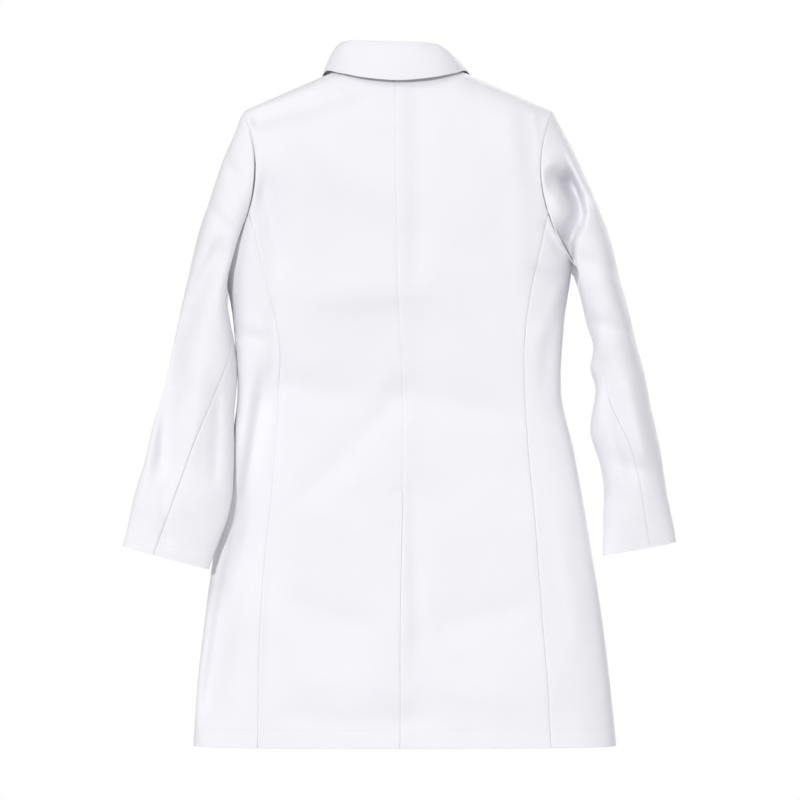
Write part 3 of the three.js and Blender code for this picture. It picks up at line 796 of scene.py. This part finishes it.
def body_hem(side, vent):
    """The turned-up hem inside the back and sides, from the vent round to the front seam."""
    u, v = grid(90, 14)
    z = mix(HEM_Z + 1, HEM_Z + HEM_DEPTH, v)
    at_vent = angle_of("back", side, np.full_like(z, vent), z)
    angle = mix(-at_vent, angle_of("front", side, fold_line(z)[0] + 4, z), u)
    back, front = (
        body_point(face, side, across_of(face, side, np.abs(angle), z), z) for face in ("back", "front")
    )
    return mirrored(np.where((angle < 0)[..., None], back, front), side)


def back_points(x, z, side=LEFT):
    """Points of the back on both sides of its middle, with the section of one side."""
    points = body_point("back", side, np.abs(x), z)
    points[..., 0] = x
    return points


BACK_GROOVE = {"left": 1.0, "right": 0.55}  # how deep the back's seams are drawn in
HEM_STITCH = HEM_DEPTH - 1  # height of the hem's stitches
VENT_CLEAR = {LEFT: 24, RIGHT: VENT_WIDTH + 3}  # where the hem stops beside the vent's layers


def make_back(name, side):
    panels = {
        "back_panel": (back_panel(side), -side, BACK_GROOVE[name]),
        "side_back_panel": (side_back_panel(side), -side, BACK_GROOVE[name]),
        "side_front_panel": (side_front_panel(side), side, 1.0),
    }
    for part, (points, turn, groove) in panels.items():
        face, outward = cloth(f"{name}_{part}", points, turn, groove=groove, seams=("left", "right", "top"))
        sew("body", face, outward, "bottom", HEM_STITCH)
    cloth(f"{name}_front_shoulder", front_shoulder(side), side, seams=("right", "top"))
    cloth(f"{name}_hem", body_hem(side, VENT_CLEAR[side]), -side, **TURNED_IN)


ALLOWANCE = 11  # what is pressed open behind a seam, to each side of it
ALLOWANCE_DEPTH = 1.3  # how far it lies under the face
ALLOWANCE_LIE = 2.2  # at the side seam, how far its edges lie in from the turn of the cloth


def make_allowances(name, side):
    """The seam allowances inside, pressed open behind the long seams."""
    u, v = np.meshgrid(np.linspace(-ALLOWANCE, ALLOWANCE, 13), spread(110))
    low = HEM_Z + 2
    on_princess = mix(low, PRINCESS_TOP_Z - 14, v)
    on_fold = mix(low, -20, v)
    on_side = mix(low, UNDERARM_Z - 6, v)
    across = HALF_WIDTH[side](on_side) - ALLOWANCE_LIE * np.abs(u) / ALLOWANCE
    back, front = (body_point(face, side, across, on_side) for face in ("back", "front"))
    strips = {
        f"{name}_princess": (body_point("back", side, PRINCESS[side](on_princess) + u, on_princess), -side),
        f"{name}_front_princess": (body_point("front", side, fold_line(on_fold)[0] + u, on_fold), side),
        f"{name}_side": (np.where((u > 0)[..., None], back, front), side),
    }
    if side == LEFT:
        on_centre = mix(VENT_TOP_Z + 4, -18, v)
        strips["centre_back"] = (body_point("back", LEFT, CENTRE_SEAM(on_centre) + u, on_centre), -1)
    for seam, (points, turn) in strips.items():
        cloth(f"{seam}_allowance", mirrored(points, side), turn, thickness=0.5,
              lift=-ALLOWANCE_DEPTH, held="folded", stands_for=False)


BACK_STRIPS = {  # from, to, bottom, top, columns, rows, lift, slot
    "vent_facing": (-VENT_WIDTH, -1, HEM_Z + 1, level(VENT_TOP_Z), 14, 60, -PLY, "coat_cloth"),
    "vent_underlap": (-VENT_WIDTH + 2, 20, HEM_Z + 1, level(VENT_TOP_Z), 16, 60, -2 * PLY, "coat_cloth"),
    "back_neck_facing": (-56, 56, -68, lambda x: back_top(x) - 5, 40, 24, -PLY - 0.6, "coat_cloth"),
    "size_label": (-20, 20, -62, level(-40), 24, 14, -2 * PLY - 0.6, "label_tape"),
}


def make_back_strips():
    for node, (start, end, bottom, top, columns, rows, lift, slot) in BACK_STRIPS.items():
        u, v = grid(columns, rows)
        x = mix(start, end, u)
        cloth(node, back_points(x, mix(bottom, top(x), v)), -1, lift=lift, thickness=LINING,
              held="stretched", slot=slot)


def sew_vent_top():
    """The slanted row of stitches that holds the vent's layers together at its top."""
    u, v = np.meshgrid(np.linspace(0, 1, 60), np.array([0.0, 1.0]))
    x = mix(-VENT_WIDTH - 4, -5, u)
    points = back_points(x, mix(VENT_TOP_Z - 11, VENT_TOP_Z, u) + v, RIGHT)
    outward = normals(points, -1)
    face = points + body_relief(points, outward)
    sew_line("body", face[0], outward[0])


# ---- Fronts ----

FOLD_BLEND_TOP = -60  # a front keeps its place above this height
FOLD_BLEND_END = -300  # and swings fully below this one


def swinging(name):
    """Lets a piece of a front turn about the princess seam, held at the shoulder."""
    hinge = Vector((SIDES[name] * FOLD_TOP[0], -FOLD_TOP[1], 0)) * MM
    start = hinge + Vector((0, 0, FOLD_BLEND_TOP * MM))
    end = hinge + Vector((0, 0, FOLD_BLEND_END * MM))
    return lambda piece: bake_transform(piece, "root", f"{name}_front", start=start, end=end)


def lapel_lift(u):
    """The lapel leaves the roll line in a soft turn and lies down towards its edge."""
    return 1.5 + 3.2 * np.sin(math.pi * np.clip(u, 0, 1)) ** 0.8


def make_front(name, side):
    front = f"{name}_front"
    move = swinging(name)
    points = front_patch(side, 46, 150, front_edge_x, lambda z: fold_line(z)[0] - SEAM_GAP,
                         level(HEM_Z), level(FOLD_TOP[2] - SEAM_GAP))
    face, outward = cloth(f"{front}_panel", points, side, move, seams=("right",))
    sew(front, face, outward, "bottom", HEM_STITCH)
    sew(front, face, outward, "left", 7, 0.0, 0.62)

    facing_edge = lambda z: np.minimum(front_edge_x(z) + FACING_WIDTH, fold_line(z)[0] - 14)
    points = front_patch(side, 14, 150, lambda z: front_edge_x(z) + 1, facing_edge,
                         level(HEM_Z + 1), level(FOLD_TOP[2] - 3))
    cloth(f"{front}_facing", points, side, move, **TURNED_IN)

    points = front_patch(side, 40, 14, level(FACING_WIDTH - FRONT_LAP + 2), lambda z: fold_line(z)[0] - 4,
                         level(HEM_Z + 1), level(HEM_Z + HEM_DEPTH))
    cloth(f"{front}_hem", points, side, move, **TURNED_IN)

    points = front_patch(side, 30, 70, lambda z: front_edge_x(z) + 0.3,
                         lambda z: np.maximum(LAPEL_EDGE(z), front_edge_x(z) + 3),
                         level(BREAK_Z + 4), lambda u: mix(-77, -94, u))
    face, outward = cloth(f"{name}_lapel", points, side, move, lift=lapel_lift(grid(30, 70)[0]) + CLOTH)
    sew(front, face, outward, "right", 5, 0.06, 1.0)
    sew(front, face, outward, "top", 5)


def make_pocket(node, inner, outer, top, bottom, gape):
    name = node.split("_")[0]
    side = SIDES[name]
    bulge = lambda u, v: gape * np.sin(math.pi * u) * np.sin(math.pi / 2 * v) ** 1.5
    points = front_patch(side, 40, 44, level(inner), level(outer), level(bottom), level(top), bulge)
    sides = ("left", "right", "bottom")
    face, outward = cloth(node, points, side, swinging(name), lift=0.35 + CLOTH, seams=sides, groove=0.3)
    for distance in (2.5, 8.5):
        for edge in sides:
            sew(f"{name}_front", face, outward, edge, distance)
    sew(f"{name}_front", face, outward, "top", 24)


# ---- Collar ----

COLLAR = {  # from the wearer's right front end, round the back, to the left one
    "base": [(-61, -37, -62), (-67, -30, -36), (-72, -18, -14), (-76, 5, 4), (-60, 24, 0),
             (-32, 37, -4), (0, 41, -6), (32, 37, -4), (60, 24, 0), (76, 5, 4), (72, -18, -14),
             (67, -30, -36), (61, -37, -62)],
    "roll": [(-62, -50, -62), (-69, -43, -30), (-72, -24, 2), (-69, 4, 19), (-57, 27, 31),
             (-32, 39, 35), (0, 43, 36), (34, 40, 37), (64, 28, 38), (77, 4, 32), (73, -24, 3),
             (69, -43, -30), (62, -50, -62)],
    "edge": [(-99, -54, -70), (-107, -47, -44), (-102, -31, -20), (-91, 2, 0), (-75, 33, -4),
             (-44, 53, -11), (0, 59, -15), (44, 53, -11), (76, 33, -4), (96, 2, 0), (104, -31, -20),
             (107, -47, -44), (99, -54, -70)],
}
NECK_CENTRE_Y = 6


def smooth_curve(points, shares):
    """Catmull-Rom curve through points, read at shares from 0 to 1."""
    knots = np.array(points, float)
    padded = np.concatenate([[2 * knots[0] - knots[1]], knots, [2 * knots[-1] - knots[-2]]])
    place = np.clip(shares, 0, 1) * (len(knots) - 1)
    i = np.minimum(place.astype(int), len(knots) - 2)
    t = (place - i)[..., None]
    a, b, c, d = padded[i], padded[i + 1], padded[i + 2], padded[i + 3]
    return (2 * b + (c - a) * t + (2 * a - 5 * b + 4 * c - d) * t ** 2
            + (3 * b - a - 3 * c + d) * t ** 3) / 2


def away_from_neck(points):
    return unit(points * np.array([1, 1, 0]) - np.array([0, NECK_CENTRE_Y, 0]))


def collar_relief(points, outward):
    x, y, z = points[..., 0], points[..., 1], points[..., 2]
    return outward * ripples(x + y, z, COLLAR_RIPPLES)[..., None]


def make_collar():
    u, v = grid(120, 20)
    share = v[..., None]
    base, roll, edge = (smooth_curve(COLLAR[line], u) for line in ("base", "roll", "edge"))
    cloth("collar_stand", mix(base, roll, share), 1, relief=collar_relief, thickness=LINING)

    out = away_from_neck(roll)
    start = roll + out * 0.8 + np.array([0, 0, 0.6])
    shoulder = mix(start, edge, 0.3) + out * 7 + np.array([0, 0, 2])
    leaf = start * (1 - share) ** 2 + shoulder * 2 * share * (1 - share) + edge * share ** 2
    face, outward = cloth("upper_collar", leaf, -1, lift=CLOTH, relief=collar_relief)
    for side in ("top", "left", "right"):
        sew("body", face, outward, side, 5)


# ---- Sleeves ----

def edge_line(*stations):
    """Two smooth functions, across and height, through (place, across, height) stations."""
    place, across, height = zip(*stations)
    return profile(*zip(place, across)), profile(*zip(place, height))


SLEEVES = {  # places run from 0 at the armhole to 1 at the cuff
    "left": {
        "outer": edge_line((0, 203, -52), (0.2, 246, -165), (0.4, 276, -280), (0.6, 301, -393),
                           (0.8, 330, -507), (1, 358, -620)),
        "inner": edge_line((0, 228, -249), (0.06, 232, -266), (0.2, 224, -308), (0.4, 211, -380),
                           (0.6, 215, -465), (0.8, 216, -560), (1, 246, -650)),
        "depth": profile((0, 39), (0.2, 54), (0.4, 46), (0.6, 35), (0.8, 22), (1, 18)),
        "set_back": profile((0, 4), (0.3, 5), (0.6, 18), (0.8, 42), (1, 44)),
        "folds": LEFT_SLEEVE_FOLDS,
        "edge_waves": [],
        "groove": 2.2,
        "seam_groove": 0.7,
    },
    "right": {
        "outer": edge_line((0, 203, -52), (0.2, 259, -165), (0.4, 293, -280), (0.6, 322, -394),
                           (0.8, 345, -505), (1, 364, -616)),
        "inner": edge_line((0, 228, -249), (0.06, 233, -266), (0.2, 243, -310), (0.4, 255, -385),
                           (0.6, 256, -465), (0.8, 268, -545), (1, 268, -634)),
        "depth": profile((0, 39), (0.2, 50), (0.4, 51), (0.6, 47), (0.8, 42), (1, 26)),
        "set_back": profile((0, 4), (0.5, 0), (1, -6)),
        "folds": RIGHT_SLEEVE_FOLDS,
        "edge_waves": [(0.1, 12, 0.05), (0.33, 4, 0.06), (0.41, -5, 0.045), (0.48, 3, 0.05),
                       (0.62, -4, 0.06)],  # of the inner edge: place, height, width
        "groove": 0.2,
        "seam_groove": 0.2,
    },
}
BACK_ARM_SEAM = profile((0, 132), (0.25, 158), (0.55, 115), (0.75, 86), (1, 74))  # in degrees
SLEEVE_START = 0.0006
CUFF_HEM_START = 0.965
CUFF_HEM_END = 0.998
ARMHOLE_GROOVE = 3.5  # width of the groove along the armhole seam
ARMHOLE_PULL = 0.3  # share of a sleeve's length that is drawn to the armhole's shape


def sleeve_point(plan, angle, t):
    """A point of a left-hand sleeve; angle 0 is its outer edge, +90 degrees its back."""
    def tube(at):
        share = (1 + np.cos(angle)) / 2
        wave = sum((height * bell(at - where, width) for where, height, width in plan["edge_waves"]), 0 * at)
        x, z = (mix(inner(at), outer(at), share) for inner, outer in zip(plan["inner"], plan["outer"]))
        y = plan["set_back"](at) + plan["depth"](at) * np.sin(angle)
        return point(x + wave * (1 - share) ** 4, y, z)

    back, front = (body_point(face, LEFT, *armhole_edge(face, angle)) for face in ("back", "front"))
    target = np.where((np.sin(angle) >= 0)[..., None], back, front)
    return tube(t) + (target - tube(0 * t)) * (1 - smooth(t, 0, ARMHOLE_PULL))[..., None]


def sleeve_relief(plan, t):
    def relief(points, outward):
        x, z = points[..., 0], points[..., 2]
        deep = folds(x, z, plan["folds"]) * smooth(outward[..., 1], -0.1, 0.5)
        fine = ripples(points[..., 1] + x * 0.6, z, SLEEVE_RIPPLES)
        share = smooth(t, 0.01, 0.07) * (1 - 0.6 * smooth(t, 0.94, 1))
        return pushed(outward, deep * share, fine * share)
    return relief


BEND_END = 0.5  # share of a sleeve's length over which it bends when it lifts


def bending(name, t):
    """Weights a sleeve piece so that each ring of it turns as one, held at the armhole."""
    side = SIDES[name]
    tip = Vector((side * SHOULDER_HALF, 0, -SHOULDER_DROP)) * MM
    both_layers = np.tile(smooth(t, 0, BEND_END).ravel(), 2)

    def move(piece):
        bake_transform(piece, "root", f"{name}_sleeve", start=tip, end=tip + Vector((side, 0, -1)) * 0.1)
        weights = piece.data.attributes["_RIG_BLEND"].data
        weights.foreach_set("value", both_layers.astype(np.float32))

    return move


def make_sleeve(name, side):
    plan = SLEEVES[name]
    back_seam = lambda t: np.radians(BACK_ARM_SEAM(t))
    front_seam = FRONT_ARM_SEAM[name]
    panels = {
        "upper": (level(front_seam), back_seam, 110),
        "under": (back_seam, level(front_seam + 2 * math.pi), 60),
    }
    for part, (start, end, columns) in panels.items():
        u, v = grid(columns, 180)
        t = mix(1.0, SLEEVE_START, v)
        angle = mix(start(t) + SEAM_TURN, end(t) - SEAM_TURN, u)
        points = mirrored(sleeve_point(plan, angle, t), side)
        reach = distances(points, 0)
        drop = plan["groove"] * bell(reach[-1:] - reach, ARMHOLE_GROOVE)
        face, outward = cloth(f"{name}_{part}_sleeve", points, side, bending(name, t), lift=-drop,
                              seams=("left", "right", "top"), relief=sleeve_relief(plan, t),
                              groove=plan["seam_groove"])
        sew(f"{name}_sleeve", face, outward, "bottom", 17)

    u, v = np.meshgrid(np.linspace(0, 1, 97)[:-1], spread(14))
    t = mix(CUFF_HEM_END, CUFF_HEM_START, v)
    points = mirrored(sleeve_point(plan, u * 2 * math.pi, t), side)
    cloth(f"{name}_cuff_hem", points, side, bending(name, t), ring=True, relief=sleeve_relief(plan, t),
          **TURNED_IN)


# ---- Fasteners and small pieces ----

# Half sections of the snaps' turned parts, as (radius, height) points.
CAP = [(0, 0), (6.6, 0), (7.3, 0.3), (7.5, 0.8), (7.3, 1.4), (6.6, 1.9), (6.0, 2.2), (5.6, 2.1),
       (5.2, 2.3), (4, 2.7), (2, 2.9), (0, 3)]
SOCKET = [(2.4, 0.2), (2.7, 0), (4.7, 0), (5, 0.3), (5, 1.0), (4.7, 1.3), (3.6, 1.1), (2.7, 1.3),
          (2.4, 1.1), (2.4, 0.2)]
STUD = [(0, 0), (4.5, 0), (4.8, 0.25), (4.5, 0.6), (3.0, 0.5), (1.7, 0.7), (1.6, 0.95), (1.9, 1.3),
        (1.85, 1.6), (1.4, 1.85), (0, 1.9)]
SNAP_SEGMENTS = 48
SNAP_CLEAR = 0.3  # between a snap part and the cloth it sits on


def turned(section):
    """Vertices and faces of a turned piece; its section starts and ends on the axis, or closes."""
    angles = np.linspace(0, 2 * math.pi, SNAP_SEGMENTS + 1)[:-1]
    closed = section[0] == section[-1]
    rings = section[:-1] if closed else section
    vertices, index = [], []
    for radius, height in rings:
        start = len(vertices)
        if radius == 0:
            vertices.append((0, 0, height))
            index.append([start] * SNAP_SEGMENTS)
        else:
            vertices.extend((radius * math.cos(a), radius * math.sin(a), height) for a in angles)
            index.append(list(range(start, start + SNAP_SEGMENTS)))
    faces = []
    for low, high in zip(index, index[1:] + index[:1] * closed):
        for i in range(SNAP_SEGMENTS):
            j = (i + 1) % SNAP_SEGMENTS
            faces.append(list(dict.fromkeys([low[i], low[j], high[j], high[i]])))
    return np.array(vertices, float), faces


def front_seat(z):
    """The middle of the front at height z: its point and its outward normal."""
    around = np.array([-10, 0, 10])
    points = body_point("front", LEFT, *np.meshgrid(around, z + around))
    return points[1, 1], normals(points, 1)[1, 1]


def make_snaps():
    kinds = {
        "snap_cap": (CAP, SNAP_CLEAR, "right_front", "snap_cap"),
        "snap_socket": (SOCKET, -PLY - LINING - SNAP_CLEAR - 1.3, "right_front", "snap_metal"),
        "snap_stud": (STUD, -UNDER_LAP_SINK + SNAP_CLEAR, "left_front", "snap_metal"),
    }
    for kind, (section, offset, body, slot) in kinds.items():
        for i, z in enumerate(SNAP_HEIGHTS):
            foot, out = front_seat(z)
            relief = body_relief(foot[None, None], out[None, None])[0, 0]
            stand = Vector((0, 0, 1)).rotation_difference(Vector(out)).to_matrix()
            vertices, faces = turned(section)
            placed = vertices @ np.array(stand).T + foot + out * offset + relief
            piece = mesh_object(f"{kind}_{i + 1}_part", placed, faces, MATERIALS[slot])
            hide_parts(f"{kind}_{i + 1}")
            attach(piece, body)


LOOP_PATH = [(-28, 38, -12), (-16.8, 37, -24), (0, 36.5, -27), (16.8, 37, -24), (28, 38, -12)]
LOOP_WIDTH = 6
LOOP_THICKNESS = 1


def make_loop():
    """The hanger loop: a woven tape sewn inside the back neck at both ends."""
    path = smooth_curve(LOOP_PATH, np.linspace(0, 1, 61))
    across = np.linspace(-0.5, 0.5, 9) * LOOP_WIDTH
    lean = unit(np.cross(np.gradient(path, axis=0), np.array([0, 1, 0])))
    points = path[None] + lean[None] * across[:, None, None]
    cloth("hanger_loop", points, 1, riding("loop"), lift=0.5, thickness=LOOP_THICKNESS, relief=None,
          held=None)


def make_threads():
    for group, (vertices, faces) in THREADS.items():
        piece = mesh_object(f"{group}_stitching", vertices, faces, MATERIALS["thread"])
        if group.endswith("_front"):
            swinging(group.removesuffix("_front"))(piece)
        else:
            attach(piece, "root" if group == "body" else group)


# ---- Stage ----

FLOOR_Z = -1250
FLOOR_HALF = 30000


def make_floor():
    """A pale matt floor below the coat, plain white to the camera."""
    material, tree, shader = new_material("pale_floor")
    set_inputs(shader, {"Base Color": (0.6, 0.6, 0.61, 1), "Roughness": 0.9})
    glow = add_node(tree, "Emission", {"Color": (1, 1, 1, 1), "Strength": 1.0})
    chooser = add_node(tree, "MixShader")
    wire(tree, add_node(tree, "LightPath"), "Is Camera Ray", "Fac", chooser)
    wire(tree, shader, 0, 1, chooser)
    wire(tree, glow, 0, 2, chooser, 0, "Surface", tree.nodes["Material Output"])
    corners = [(x * FLOOR_HALF, y * FLOOR_HALF, FLOOR_Z) for x, y in ((-1, -1), (1, -1), (1, 1), (-1, 1))]
    mesh_object("floor", corners, [(0, 1, 2, 3)], material)


def make_world():
    """An even white surround: bright to the camera, softer as light on the coat."""
    world = bpy.data.worlds.new("studio")
    world.use_nodes = True
    tree = world.node_tree
    background = tree.nodes["Background"]
    set_inputs(background, {"Color": (1, 1, 1, 1)})
    wire(tree, add_node(tree, "LightPath"), "Is Camera Ray", "Value", between(tree, 0.4, 1.0),
         "Result", "Strength", background)
    bpy.context.scene.world = world


def sun(name, towards, strength, softness):
    light = bpy.data.lights.new(name, "SUN")
    light.energy = strength
    light.angle = math.radians(softness)
    lamp = bpy.data.objects.new(name, light)
    lamp.rotation_euler = Vector(towards).to_track_quat("-Z", "Y").to_euler()
    bpy.context.scene.collection.objects.link(lamp)


def make_camera():
    """The main view: straight at the back, a long lens, the whole coat in frame."""
    distance = 6.0
    frame_width = 1.048  # at the coat
    middle_x, middle_z = -0.0026, -0.430
    data = bpy.data.cameras.new("camera")
    data.sensor_width = 36
    data.lens = data.sensor_width * distance / frame_width
    data.clip_end = 100
    camera = bpy.data.objects.new("camera", data)
    camera.location = (middle_x, distance, middle_z)
    camera.rotation_euler = (math.radians(90), 0, math.radians(180))
    bpy.context.scene.collection.objects.link(camera)
    bpy.context.scene.camera = camera


# ---- Assembly ----

make_camera()
make_world()
make_floor()
sun("key", (-0.28, -1, -0.28), 1.68, 3.5)
sun("rake", (-0.5, -0.5, -0.6), 0.6, 20)
sun("side_fill", (0.9, -0.25, -0.1), 0.6, 30)
sun("front_fill", (0.5, 1, -0.45), 2.3, 8)
bpy.context.scene.view_settings.view_transform = "Standard"

for name, side in SIDES.items():
    make_back(name, side)
    make_front(name, side)
    make_sleeve(name, side)
    make_allowances(name, side)
for node, plan in POCKETS.items():
    make_pocket(node, *plan)
make_back_strips()
sew_vent_top()
make_collar()
make_loop()
make_snaps()
make_threads()
